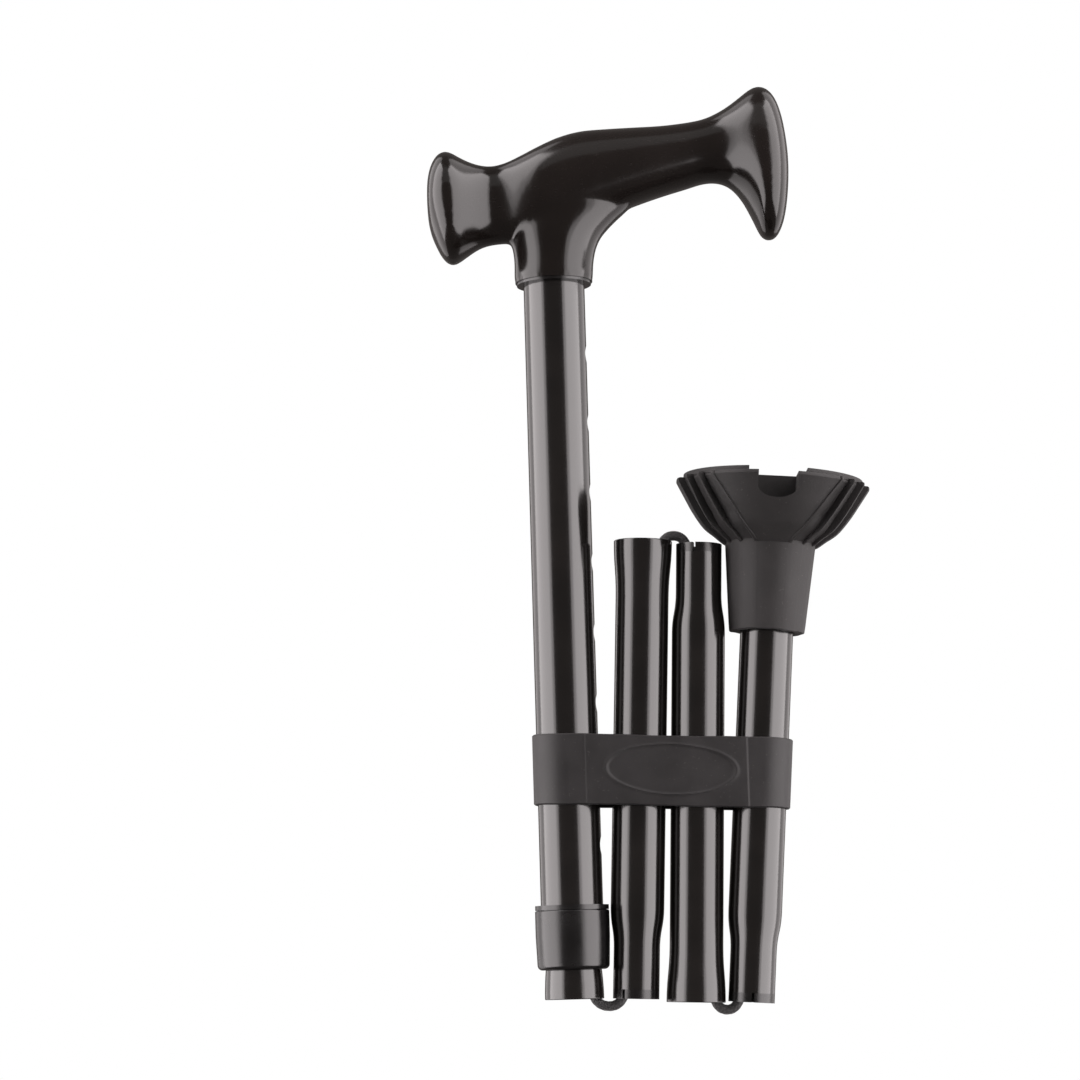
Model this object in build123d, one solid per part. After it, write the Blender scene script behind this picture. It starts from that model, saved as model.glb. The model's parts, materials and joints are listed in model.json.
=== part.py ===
from build123d import *

import math
import os

# Single point folding cane, folded for storage. Millimetres.
# The upper tube stands along Z at X = 0. The handle points to +X. The origin lies on
# the tube's axis at the height where the palm closes on the handle.

# handle and upper tube
SKIRT_BOTTOM = -40.8
SKIRT_RADIUS = 14.4
TUBE_RADIUS = 11.1
TUBE_WALL = 1.2
TUBE_TOP = -4.8
TUBE_BOTTOM = -277.0
BUSH_RADIUS = 13.5
BUSH_HEIGHT = 1.0

# height adjustment
HOLE_RADIUS = 3.25
HOLE_PITCH = 25.4
HOLE_COUNT = 8
FIRST_HOLE = -67.5
STORAGE_HOLE = SKIRT_BOTTOM + 5.0
COLLAR_TOP = -266.2
COLLAR_BOTTOM = -288.9
COLLAR_RADIUS = 13.2
COLLAR_LIP = 1.6
COLLAR_GAP = 0.2
COLLAR_MOUTH_RADIUS = 10.5
COLLAR_BORE = 12.4
COLLAR_TAPER = 0.45
COLLAR_ROUND = 1.8
COLLAR_EDGE = 0.5
# the straight part of the collar's side, and of its mouth, below and above the taper
COLLAR_SIDE = 9.0
COLLAR_MOUTH_HEIGHT = 3.5
SLEEVE_RADIUS = 12.2
FINGER_BOTTOM = -283.0
FINGER_THICKNESS = 1.0
FINGER_SLIT = 1.2
SLIDING_GAP = 0.2

# folding sections: every section has a narrow neck at one end, a flared mouth at the other
SECTION_RADIUS = 9.525
SECTION_WALL = 1.2
SECTION_LENGTH = 163.4
NECK_RADIUS = 8.2
NECK_LENGTH = 18.0
TAPER_END = 32.0
FLARE_RADIUS = 10.5
FLARE_LENGTH = 20.0
LIP_ROUND = 0.35
INNER_TUBE_TOP = -20.8
INNER_TUBE_MOUTH = -299.3
# where each section's neck end lies, and its lean from upright towards +X
SECTION_1_NECK = (21.75, -299.75)
SECTION_1_LEAN = 2.68
SECTION_2_NECK = (49.5, -138.3)
SECTION_2_LEAN = 182.3
SECTION_3_NECK = (62.5, -302.1)
SECTION_3_LEAN = 4.45

# ferrules, the plastic end rings
FERRULE_HEIGHT = 3.3
FERRULE_BORE = 5.75
FERRULE_SLIT = 1.0
FERRULE_SLIT_ANGLES = (-34.0, 15.0, 0.0)
SPIGOT_LENGTH = 6.0
SPIGOT_GAP = 0.05

# snap button
BUTTON_RADIUS = 3.0
BUTTON_TIP = 9.75
BUTTON_LENGTH = 6.5
BUTTON_TRAVEL = 3.8
BUTTON_DOME = 1.6
BUTTON_FLANGE = 1.0
POCKET_GAP = 0.4
SPRING_THICKNESS = 0.6
SPRING_WIDTH = 6.0
SPRING_BEND = 2.5
SPRING_GAP = 0.02

# elastic cord
CORD_RADIUS = 1.8
CORD_BEND = 3.0
CORD_EASY_BEND = 60.0
# how far off its tube's axis the cord runs: deep in a mouth, at the mouth and in a neck
CORD_INNER_OFFSET = 5.0
CORD_PARENT_OFFSET = 6.5
CORD_CHILD_OFFSET = 3.6
# how far a loop reaches: out of the tubes, into the neck, into the mouth, and where in the
# mouth it starts to lean out
CORD_OUT = 2.6
CORD_IN = 7.0
CORD_REACH = 31.0
CORD_TURN = 14.0
CORD_STEP = 8.0
PLUG_HEIGHT = 9.0
STOP_RADIUS = 3.4
STOP_HEIGHT = 7.0
STOP_ROUND = 0.8
# how far below the inner tube's top the upper stop lies, and how far up the last section
# the lower one does
TOP_STOP = 34.0
BOTTOM_STOP = 153.0

# storage band
BAND_HEIGHT = 25.0
BAND_CENTRE = -218.4
BAND_LEAN = 2.6
BAND_THICKNESS = 1.4
BAND_CLEARANCE = 0.3

# rubber foot, along section 3 from its neck end
FOOT_MOUTH = 131.6
FOOT_SOCKET_LENGTH = 31.4
FOOT_RIM = 54.2
FOOT_MOUTH_RADIUS = 13.6
FOOT_BASE_RADIUS = 16.2
FOOT_RIM_RADIUS = 34.8
FOOT_PAD_HEIGHT = 1.6
FOOT_PAD_HALF_GAP = 10.3
FOOT_PAD_INSET = 2.5
FOOT_NOTCH_WIDTH = 14.0
FOOT_NOTCH_DEPTH = 8.3
FOOT_NOTCH_ROUND = 3.0
FOOT_HUB_RADIUS = 20.0
FOOT_HUB_DROP = 0.6
FOOT_EDGE = (0.6, 1.2)
# radius and height of the flaring side, between the socket's base and the rim
FOOT_FLARE = ((20.2, 33.8), (24.4, 37.0), (28.5, 42.4), (32.0, 48.2))
WASHER_RADIUS = 8.6
WASHER_HEIGHT = 1.2


def leaning(neck, lean):
    """A section's place: its neck end at neck and its axis lean degrees from upright."""
    return Location((neck[0], 0, neck[1]), (0, lean, 0))


def spot(neck, lean, across, along):
    """The point that lies across and along in a section's own plane."""
    place = leaning(neck, lean)
    return (place * Location((across, 0, along))).position


def ring(outer, inner, low, high):
    """A plain ring about Z."""
    height = high - low
    tube = Cylinder(outer, height) - Cylinder(inner, height + 2)
    return Pos(0, 0, (low + high) / 2) * tube


def swell(start, end):
    """Two tangent arcs in the XZ plane that leave and arrive along Z."""
    middle = ((start[0] + end[0]) / 2, 0, (start[1] + end[1]) / 2)
    up = 1 if end[1] > start[1] else -1
    first = TangentArc((start[0], 0, start[1]), middle, tangent=(0, 0, up))
    last = TangentArc((end[0], 0, end[1]), middle, tangent=(0, 0, -up))
    return [first, last]


def straight(start, end):
    """A line in the XZ plane."""
    return Line((start[0], 0, start[1]), (end[0], 0, end[1]))


def turned(edges):
    """The solid that a closed outline in the XZ plane sweeps about Z."""
    return revolve(make_face(edges), Axis.Z)


def section_tube():
    """A folding section along +Z with its neck end at the origin."""
    wall = SECTION_WALL
    length = SECTION_LENGTH
    flare = length - FLARE_LENGTH
    edges = [straight((NECK_RADIUS - wall, 0), (NECK_RADIUS, 0))]
    edges += [straight((NECK_RADIUS, 0), (NECK_RADIUS, NECK_LENGTH))]
    edges += swell((NECK_RADIUS, NECK_LENGTH), (SECTION_RADIUS, TAPER_END))
    edges += [straight((SECTION_RADIUS, TAPER_END), (SECTION_RADIUS, flare))]
    edges += swell((SECTION_RADIUS, flare), (FLARE_RADIUS, length))
    edges += [straight((FLARE_RADIUS, length), (FLARE_RADIUS - wall, length))]
    edges += swell((FLARE_RADIUS - wall, length), (SECTION_RADIUS - wall, flare))
    edges += [straight((SECTION_RADIUS - wall, flare), (SECTION_RADIUS - wall, TAPER_END))]
    edges += swell((SECTION_RADIUS - wall, TAPER_END), (NECK_RADIUS - wall, NECK_LENGTH))
    edges += [straight((NECK_RADIUS - wall, NECK_LENGTH), (NECK_RADIUS - wall, 0))]
    tube = turned(edges)
    lip = tube.edges().filter_by(GeomType.CIRCLE).sort_by(Axis.Z)[-2:]
    return fillet(lip, LIP_ROUND)


def lower_tube():
    """The last section. Its far end is plain and stands in the foot."""
    wall = SECTION_WALL
    length = SECTION_LENGTH
    edges = [straight((NECK_RADIUS - wall, 0), (NECK_RADIUS, 0))]
    edges += [straight((NECK_RADIUS, 0), (NECK_RADIUS, NECK_LENGTH))]
    edges += swell((NECK_RADIUS, NECK_LENGTH), (SECTION_RADIUS, TAPER_END))
    edges += [straight((SECTION_RADIUS, TAPER_END), (SECTION_RADIUS, length))]
    edges += [straight((SECTION_RADIUS, length), (SECTION_RADIUS - wall, length))]
    edges += [straight((SECTION_RADIUS - wall, length), (SECTION_RADIUS - wall, TAPER_END))]
    edges += swell((SECTION_RADIUS - wall, TAPER_END), (NECK_RADIUS - wall, NECK_LENGTH))
    edges += [straight((NECK_RADIUS - wall, NECK_LENGTH), (NECK_RADIUS - wall, 0))]
    return turned(edges)


def ferrule(slit_angle):
    """The split plastic ring that caps a neck, with its spigot in the neck's bore."""
    spigot_radius = NECK_RADIUS - SECTION_WALL - SPIGOT_GAP
    cap = ring(NECK_RADIUS, FERRULE_BORE, -FERRULE_HEIGHT, 0)
    cap += ring(spigot_radius, FERRULE_BORE, -0.1, SPIGOT_LENGTH)
    slit = Pos(0, -FERRULE_BORE - 2, 0) * Box(FERRULE_SLIT, 6, 20)
    return Pos(0, 0, FERRULE_HEIGHT) * (cap - Rot(0, 0, slit_angle) * slit)


def necked(tube):
    """A section whose tube starts behind its ferrule."""
    return tube - Pos(0, 0, FERRULE_HEIGHT / 2) * Cylinder(SECTION_RADIUS, FERRULE_HEIGHT)


def handle():
    """The moulded palm handle: a lofted grip on a skirt that closes on the upper tube."""
    # distance along the grip, then its top, its underside and half its width there
    stations = [
        (-45.2, -3.0, -15.0, 7.0),
        (-43.6, 3.4, -22.2, 14.0),
        (-40.2, 7.8, -30.0, 18.8),
        (-36.4, 8.7, -32.8, 20.0),
        (-31.0, 7.0, -30.0, 16.6),
        (-25.0, 3.9, -26.8, 12.2),
        (-17.0, 4.0, -25.5, 11.4),
        (-7.0, 8.2, -23.5, 15.3),
        (5.0, 13.4, -20.0, 16.8),
        (18.0, 15.3, -17.6, 16.1),
        (31.0, 15.7, -12.9, 15.2),
        (44.0, 16.3, -8.5, 14.2),
        (55.0, 18.0, -5.4, 13.2),
        (62.0, 20.8, -5.3, 13.8),
        (67.5, 24.4, -8.6, 16.0),
        (72.0, 27.6, -16.0, 18.2),
        (76.0, 29.8, -25.0, 19.8),
        (79.5, 28.6, -27.0, 19.8),
        (82.6, 25.4, -25.4, 17.8),
        (84.8, 18.6, -19.4, 14.0),
        (86.5, 6.0, -7.5, 6.0),
    ]
    sections = []
    for along, top, bottom, half_width in stations:
        plane = Plane((along, 0, (top + bottom) / 2), x_dir=(0, 1, 0), z_dir=(1, 0, 0))
        sections.append(plane * Ellipse(half_width, (top - bottom) / 2))
    # the closely spaced stations at both ends are joined straight, so that the ends stay round
    grip = loft(sections[:4], ruled=True)
    grip += loft(sections[3:-3])
    grip += loft(sections[-4:], ruled=True)
    # height, then the skirt's middle and its half sizes along and across the grip
    levels = [
        (SKIRT_BOTTOM, 0.0, SKIRT_RADIUS, SKIRT_RADIUS),
        (-34.0, 0.2, 14.3, 14.2),
        (-28.0, 0.6, 15.4, 14.0),
        (-22.0, 1.5, 17.4, 14.2),
        (-16.0, 4.2, 20.8, 14.0),
        (-10.0, 7.5, 25.0, 13.0),
    ]
    rings = []
    for height, middle, half_along, half_across in levels:
        rings.append(Plane((middle, 0, height)) * Ellipse(half_along, half_across))
    skirt = loft(rings)
    tube_space = Pos(0, 0, (SKIRT_BOTTOM + TUBE_TOP) / 2) * Cylinder(
        TUBE_RADIUS, TUBE_TOP - SKIRT_BOTTOM
    )
    pocket_reach = BUTTON_TIP + BUTTON_TRAVEL + 0.3
    pocket = Pos(pocket_reach / 2, 0, STORAGE_HOLE) * Rot(0, 90, 0) * Cylinder(
        BUTTON_RADIUS + POCKET_GAP, pocket_reach
    )
    return grip + skirt - tube_space - pocket


def handle_bush():
    """The thin plastic ring between the skirt and the tube."""
    return ring(BUSH_RADIUS, TUBE_RADIUS, SKIRT_BOTTOM - BUSH_HEIGHT, SKIRT_BOTTOM)


def height_holes():
    """The heights of the button's holes, the storage hole in the skirt included."""
    return [STORAGE_HOLE] + [FIRST_HOLE - HOLE_PITCH * n for n in range(HOLE_COUNT)]


def upper_tube():
    """The outer tube with its row of holes on the handle's side."""
    tube = ring(TUBE_RADIUS, TUBE_RADIUS - TUBE_WALL, TUBE_BOTTOM, TUBE_TOP)
    for height in height_holes():
        drill = Pos(TUBE_RADIUS, 0, height) * Rot(0, 90, 0) * Cylinder(HOLE_RADIUS, 8)
        tube -= drill
    return tube


def lock_bushing():
    """The bushing on the tube's end: a flange, a sleeve and slit fingers below the tube."""
    sleeve_radius = SLEEVE_RADIUS
    finger_bottom = FINGER_BOTTOM
    finger_bore = SECTION_RADIUS + SLIDING_GAP
    finger_tip = finger_bore + FINGER_THICKNESS
    flange = ring(COLLAR_RADIUS - 0.1, TUBE_RADIUS, COLLAR_TOP - COLLAR_LIP, COLLAR_TOP)
    sleeve = ring(sleeve_radius, TUBE_RADIUS, TUBE_BOTTOM, COLLAR_TOP - COLLAR_LIP)
    fingers = turned(
        [
            straight((finger_bore, TUBE_BOTTOM), (sleeve_radius, TUBE_BOTTOM)),
            straight((sleeve_radius, TUBE_BOTTOM), (finger_tip, finger_bottom)),
            straight((finger_tip, finger_bottom), (finger_bore, finger_bottom)),
            straight((finger_bore, finger_bottom), (finger_bore, TUBE_BOTTOM)),
        ]
    )
    slit_height = TUBE_BOTTOM - finger_bottom
    for turn in (0, 90):
        slit = Box(40, FINGER_SLIT, slit_height)
        fingers -= Pos(0, 0, finger_bottom + slit_height / 2) * Rot(0, 0, turn) * slit
    # the slits stop short of the tube's end, so the fingers hang from one whole ring
    root = ring(sleeve_radius, finger_bore, TUBE_BOTTOM - 1.0, TUBE_BOTTOM)
    return flange + sleeve + fingers + root


def lock_collar():
    """The collar nut that closes the bushing's fingers on the inner tube."""
    top = COLLAR_TOP - COLLAR_LIP - COLLAR_GAP
    bottom = COLLAR_BOTTOM
    waist = COLLAR_RADIUS - COLLAR_TAPER
    side = top - COLLAR_SIDE
    bore = COLLAR_BORE
    mouth = COLLAR_MOUTH_RADIUS
    mouth_top = bottom + COLLAR_MOUTH_HEIGHT
    edges = [
        straight((bore, top), (COLLAR_RADIUS, top)),
        straight((COLLAR_RADIUS, top), (COLLAR_RADIUS, side)),
        straight((COLLAR_RADIUS, side), (waist, bottom)),
        straight((waist, bottom), (mouth, bottom)),
        straight((mouth, bottom), (mouth, mouth_top)),
        straight((mouth, mouth_top), (bore, TUBE_BOTTOM - 1.0)),
        straight((bore, TUBE_BOTTOM - 1.0), (bore, top)),
    ]
    collar = turned(edges)
    rim = collar.edges().filter_by(GeomType.CIRCLE).group_by(Axis.Z)[0].sort_by(SortBy.RADIUS)
    collar = fillet(rim[-1:], COLLAR_ROUND)
    crown = collar.edges().filter_by(GeomType.CIRCLE).group_by(Axis.Z)[-1].sort_by(SortBy.RADIUS)
    return fillet(crown[-1:], COLLAR_EDGE)


def storage_band():
    """The wide rubber band around the four tubes."""
    half = BAND_HEIGHT / 2
    walls = []
    for extra in (BAND_THICKNESS, 0):
        outlines = []
        for side in (-half, half):
            height = BAND_CENTRE + side
            plane = Plane((0, 0, height), x_dir=(1, 0, -math.tan(math.radians(BAND_LEAN))))
            lean = math.radians(SECTION_3_LEAN)
            reach = SECTION_3_NECK[0] + math.tan(lean) * (height - 3.0 - SECTION_3_NECK[1])
            left = TUBE_RADIUS + BAND_CLEARANCE + extra
            right = SECTION_RADIUS + BAND_CLEARANCE + extra
            outline = make_hull((Circle(left) + Pos(reach, 0) * Circle(right)).edges())
            outlines.append(plane * outline)
        walls.append(loft(outlines, ruled=True))
    return walls[0] - walls[1]


def inner_tube():
    """The sliding tube: the button's hole near its top and a flared mouth below."""
    wall = SECTION_WALL
    mouth = INNER_TUBE_MOUTH
    top = INNER_TUBE_TOP
    flare = mouth + FLARE_LENGTH
    edges = [straight((SECTION_RADIUS - wall, top), (SECTION_RADIUS, top))]
    edges += [straight((SECTION_RADIUS, top), (SECTION_RADIUS, flare))]
    edges += swell((SECTION_RADIUS, flare), (FLARE_RADIUS, mouth))
    edges += [straight((FLARE_RADIUS, mouth), (FLARE_RADIUS - wall, mouth))]
    edges += swell((FLARE_RADIUS - wall, mouth), (SECTION_RADIUS - wall, flare))
    edges += [straight((SECTION_RADIUS - wall, flare), (SECTION_RADIUS - wall, top))]
    tube = turned(edges)
    lip = tube.edges().filter_by(GeomType.CIRCLE).sort_by(Axis.Z)[:2]
    tube = fillet(lip, LIP_ROUND)
    hole = BUTTON_RADIUS + SLIDING_GAP
    drill = Pos(SECTION_RADIUS, 0, STORAGE_HOLE) * Rot(0, 90, 0) * Cylinder(hole, 6)
    return tube - drill


def snap_button():
    """The domed button, pressed in, with the flange that keeps it in the tube."""
    shank = Cylinder(BUTTON_RADIUS, BUTTON_LENGTH)
    shank = fillet(shank.edges().sort_by(Axis.Z)[-1:], BUTTON_DOME)
    flange = Cylinder(BUTTON_RADIUS + BUTTON_FLANGE, BUTTON_FLANGE)
    flange = Pos(0, 0, -(BUTTON_LENGTH + BUTTON_FLANGE) / 2) * flange
    centre = BUTTON_TIP - BUTTON_LENGTH / 2
    return Pos(centre, 0, STORAGE_HOLE) * Rot(0, 90, 0) * (shank + flange)


def snap_spring():
    """The bent spring strip: one leg on the far wall, the other behind the button."""
    behind = BUTTON_TIP - BUTTON_LENGTH - BUTTON_FLANGE - SPRING_THICKNESS / 2 - SPRING_GAP
    far = -(SECTION_RADIUS - SECTION_WALL - 1.0)
    route = [
        (far, 0, STORAGE_HOLE - 10),
        (far, 0, STORAGE_HOLE + 6),
        ((far + behind) / 2, 0, STORAGE_HOLE + 13),
        (behind, 0, STORAGE_HOLE + 6),
        (behind, 0, STORAGE_HOLE - 4.5),
    ]
    path = FilletPolyline(*route, radius=SPRING_BEND)
    profile = Plane(route[0], x_dir=(1, 0, 0), z_dir=(0, 0, 1)) * Rectangle(
        SPRING_THICKNESS, SPRING_WIDTH
    )
    return sweep(profile, path)


def cord(route, radii):
    """A stretch of the elastic cord along route, with one bend radius for each corner."""
    path = FilletPolyline(*route, radius=radii)
    start = Plane(route[0], z_dir=Vector(*route[1]) - Vector(*route[0]))
    solid = sweep(start * Circle(CORD_RADIUS), path)
    expected = math.pi * CORD_RADIUS**2 * path.length
    print("cord radii", radii, "volume against section times length", solid.volume / expected)
    return solid


def loop_route(parent, child):
    """A loop's points: out of the parent's mouth, across, and into the child's neck.

    The parent is its neck end, its lean, its mouth's distance along it and the side that
    the cord lies on. The child is its neck end, its lean and the side.
    """
    neck, lean, mouth, side = parent
    deep = side * CORD_INNER_OFFSET
    start = spot(neck, lean, deep, mouth - CORD_REACH)
    turn = spot(neck, lean, deep, mouth - CORD_TURN)
    leaving = spot(neck, lean, side * CORD_PARENT_OFFSET, mouth + CORD_OUT)
    neck, lean, side = child
    entering = spot(neck, lean, side * CORD_CHILD_OFFSET, -CORD_OUT)
    end = spot(neck, lean, side * CORD_CHILD_OFFSET, CORD_IN)
    return [tuple(point) for point in (start, turn, leaving, entering, end)]


def loop_routes():
    """The routes of the three loops between neighbouring sections."""
    length = SECTION_LENGTH
    inner_length = INNER_TUBE_TOP - INNER_TUBE_MOUTH
    return [
        loop_route(
            ((0, INNER_TUBE_TOP), 180, inner_length, -1), (SECTION_1_NECK, SECTION_1_LEAN, -1)
        ),
        loop_route(
            (SECTION_1_NECK, SECTION_1_LEAN, length, 1), (SECTION_2_NECK, SECTION_2_LEAN, 1)
        ),
        loop_route(
            (SECTION_2_NECK, SECTION_2_LEAN, length, -1), (SECTION_3_NECK, SECTION_3_LEAN, -1)
        ),
    ]


def inside_route(neck, lean, entry, exit):
    """The cord's points inside a section, each end as (across, along)."""
    step = CORD_STEP
    return [
        tuple(spot(neck, lean, entry[0], entry[1])),
        tuple(spot(neck, lean, entry[0], entry[1] + step)),
        tuple(spot(neck, lean, exit[0], exit[1] - step)),
        tuple(spot(neck, lean, exit[0], exit[1])),
    ]


def inside_routes():
    """The cord's routes inside the inner tube and the three sections."""
    out = CORD_INNER_OFFSET
    into = CORD_CHILD_OFFSET
    mouth = SECTION_LENGTH - CORD_REACH
    inner_mouth = INNER_TUBE_TOP - INNER_TUBE_MOUTH - CORD_REACH
    return [
        inside_route((0, INNER_TUBE_TOP), 180, (0, TOP_STOP + STOP_HEIGHT), (-out, inner_mouth)),
        inside_route(SECTION_1_NECK, SECTION_1_LEAN, (-into, CORD_IN), (out, mouth)),
        inside_route(SECTION_2_NECK, SECTION_2_LEAN, (into, CORD_IN), (-out, mouth)),
        inside_route(SECTION_3_NECK, SECTION_3_LEAN, (-into, CORD_IN), (0, BOTTOM_STOP)),
    ]


def plug():
    """The disc that anchors the cord in a tube's bore, standing on Z = 0."""
    return ring(SECTION_RADIUS - SECTION_WALL, CORD_RADIUS + 0.1, 0, PLUG_HEIGHT)


def stop():
    """The crimped sleeve on the cord's end, closed, standing on Z = 0."""
    sleeve = Pos(0, 0, STOP_HEIGHT / 2) * Cylinder(STOP_RADIUS, STOP_HEIGHT)
    return fillet(sleeve.edges().filter_by(GeomType.CIRCLE), STOP_ROUND)


def foot():
    """The rubber foot along +Z from the mouth of its socket to its tread."""
    socket = FOOT_SOCKET_LENGTH
    rim = FOOT_RIM
    shoulder = rim - FOOT_EDGE[1]
    tread_radius = FOOT_RIM_RADIUS - FOOT_EDGE[0]
    edges = [
        straight((0, 0), (FOOT_MOUTH_RADIUS, 0)),
        straight((FOOT_MOUTH_RADIUS, 0), (FOOT_BASE_RADIUS, socket)),
        Spline(
            (FOOT_BASE_RADIUS, 0, socket),
            *[(radius, 0, height) for radius, height in FOOT_FLARE],
            (FOOT_RIM_RADIUS, 0, shoulder),
        ),
        straight((FOOT_RIM_RADIUS, shoulder), (tread_radius, rim)),
        straight((tread_radius, rim), (0, rim)),
        straight((0, rim), (0, 0)),
    ]
    body = turned(edges)
    # an arched notch in the rim, front and back, ends at the solid hub in the middle
    body -= notch()
    hub_height = rim - FOOT_HUB_DROP - socket
    body += Pos(0, 0, socket + hub_height / 2) * Cylinder(FOOT_HUB_RADIUS, hub_height)
    # two tread pads stand on the rim's face, parted by a channel from front to back
    pad_middle = rim + FOOT_PAD_HEIGHT / 2
    pads = Pos(0, 0, pad_middle) * Cylinder(FOOT_RIM_RADIUS - FOOT_PAD_INSET, FOOT_PAD_HEIGHT)
    pads -= Pos(0, 0, pad_middle) * Box(2 * FOOT_PAD_HALF_GAP, 3 * FOOT_RIM_RADIUS, 4)
    body += pads
    bore_depth = SECTION_LENGTH + WASHER_HEIGHT - FOOT_MOUTH
    body -= Pos(0, 0, bore_depth / 2) * Cylinder(SECTION_RADIUS, bore_depth)
    return body


def notch():
    """The arched channel across the foot's tread, along Y."""
    half = FOOT_NOTCH_WIDTH / 2
    bottom = FOOT_RIM - FOOT_NOTCH_DEPTH
    top = FOOT_RIM + FOOT_PAD_HEIGHT + 1
    outline = Pos(0, (top + bottom) / 2) * Rectangle(2 * half, top - bottom)
    outline = fillet(outline.vertices().group_by(Axis.Y)[0], FOOT_NOTCH_ROUND)
    return extrude(Plane.XZ * outline, 45, both=True)


def foot_washer():
    """The steel disc at the bottom of the foot's socket."""
    return Cylinder(WASHER_RADIUS, WASHER_HEIGHT)


def section_parts():
    """Every piece that rides on a folding section, as node name to solid."""
    sections = [
        (SECTION_1_NECK, SECTION_1_LEAN),
        (SECTION_2_NECK, SECTION_2_LEAN),
        (SECTION_3_NECK, SECTION_3_LEAN),
    ]
    tubes = [section_tube(), section_tube(), lower_tube()]
    parts = {}
    for number, (neck, lean) in enumerate(sections):
        place = leaning(neck, lean)
        name = ("middle_tube_1", "middle_tube_2", "lower_tube")[number]
        parts[name] = place * necked(tubes[number])
        parts[f"ferrule_{number + 1}"] = place * ferrule(FERRULE_SLIT_ANGLES[number])
    last = leaning(SECTION_3_NECK, SECTION_3_LEAN)
    parts["cord_plug_bottom"] = last * Pos(0, 0, BOTTOM_STOP - PLUG_HEIGHT) * plug()
    parts["cord_stop_bottom"] = last * Pos(0, 0, BOTTOM_STOP) * stop()
    parts["foot"] = last * Pos(0, 0, FOOT_MOUTH) * foot()
    washer_middle = SECTION_LENGTH + WASHER_HEIGHT / 2
    parts["foot_washer"] = last * Pos(0, 0, washer_middle) * foot_washer()
    return parts


def cord_parts():
    """The elastic cord's stretches, as node name to solid."""
    parts = {}
    bends = [CORD_EASY_BEND / 3, CORD_BEND, CORD_BEND]
    for number, route in enumerate(loop_routes()):
        parts[f"cord_loop_{number + 1}"] = cord(route, bends)
    names = ("cord_upper", "cord_middle_1", "cord_middle_2", "cord_lower")
    easy = [CORD_EASY_BEND, CORD_EASY_BEND]
    for name, route in zip(names, inside_routes()):
        parts[name] = cord(route, easy)
    return parts


def upper_parts():
    """Every piece of the handle, the height adjustment and the band, as node name to solid."""
    top_plug = Pos(0, 0, INNER_TUBE_TOP - TOP_STOP - STOP_HEIGHT - PLUG_HEIGHT) * plug()
    top_stop = Pos(0, 0, INNER_TUBE_TOP - TOP_STOP - STOP_HEIGHT) * stop()
    return {
        "handle": handle(),
        "handle_bush": handle_bush(),
        "upper_tube": upper_tube(),
        "lock_bushing": lock_bushing(),
        "lock_collar": lock_collar(),
        "storage_band": storage_band(),
        "inner_tube": inner_tube(),
        "cord_plug_top": top_plug,
        "cord_stop_top": top_stop,
        "snap_button": snap_button(),
        "snap_spring": snap_spring(),
    }


os.makedirs("parts", exist_ok=True)
for node, shape in {**upper_parts(), **section_parts(), **cord_parts()}.items():
    export_step(shape, f"parts/{node}.step")
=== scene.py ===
import bpy
import bmesh
import json
import math
from mathutils import Matrix, Vector


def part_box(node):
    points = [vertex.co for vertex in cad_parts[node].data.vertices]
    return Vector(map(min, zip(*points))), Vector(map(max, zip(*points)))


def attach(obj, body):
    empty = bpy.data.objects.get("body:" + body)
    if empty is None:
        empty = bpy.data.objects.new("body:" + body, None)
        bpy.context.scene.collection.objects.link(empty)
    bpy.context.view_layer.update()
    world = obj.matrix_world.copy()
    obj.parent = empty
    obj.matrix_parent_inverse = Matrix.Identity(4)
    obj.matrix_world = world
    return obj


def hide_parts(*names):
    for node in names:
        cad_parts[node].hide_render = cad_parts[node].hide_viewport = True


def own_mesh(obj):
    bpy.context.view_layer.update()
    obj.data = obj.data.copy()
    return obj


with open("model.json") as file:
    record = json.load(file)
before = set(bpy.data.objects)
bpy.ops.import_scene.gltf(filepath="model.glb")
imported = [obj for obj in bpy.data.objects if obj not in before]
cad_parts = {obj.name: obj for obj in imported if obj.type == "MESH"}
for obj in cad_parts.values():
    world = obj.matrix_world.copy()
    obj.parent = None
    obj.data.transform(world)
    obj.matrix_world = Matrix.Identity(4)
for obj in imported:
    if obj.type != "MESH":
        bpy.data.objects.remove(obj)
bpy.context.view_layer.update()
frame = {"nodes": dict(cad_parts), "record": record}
nodes = frame["nodes"]
mm = 0.001
print("frame loaded,", len(nodes), "nodes")


def newFinish(name):
    finish = bpy.data.materials.new(name)
    finish.use_nodes = True
    tree = finish.node_tree
    return finish, tree, tree.nodes["Principled BSDF"]


def addNode(tree, kind, **sockets):
    node = tree.nodes.new(kind)
    for key, value in sockets.items():
        node.inputs[key.replace("_", " ")].default_value = value
    return node


def placeOn(tree, stretch):
    # the piece's own coordinates, stretched so that a pattern can run along it
    coords = tree.nodes.new("ShaderNodeTexCoord")
    mapping = addNode(tree, "ShaderNodeMapping", Scale=stretch)
    tree.links.new(coords.outputs["Object"], mapping.inputs["Vector"])
    return mapping.outputs["Vector"]


def noiseAt(tree, vector, scale, detail=3.0, roughness=0.5):
    noise = addNode(tree, "ShaderNodeTexNoise", Scale=scale, Detail=detail, Roughness=roughness)
    tree.links.new(vector, noise.inputs["Vector"])
    return noise.outputs["Fac"]


def rangeOf(tree, value, low, high, fromLow=0.3, fromHigh=0.7):
    spread = tree.nodes.new("ShaderNodeMapRange")
    spread.inputs["From Min"].default_value = fromLow
    spread.inputs["From Max"].default_value = fromHigh
    spread.inputs["To Min"].default_value = low
    spread.inputs["To Max"].default_value = high
    tree.links.new(value, spread.inputs["Value"])
    return spread.outputs["Result"]


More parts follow.
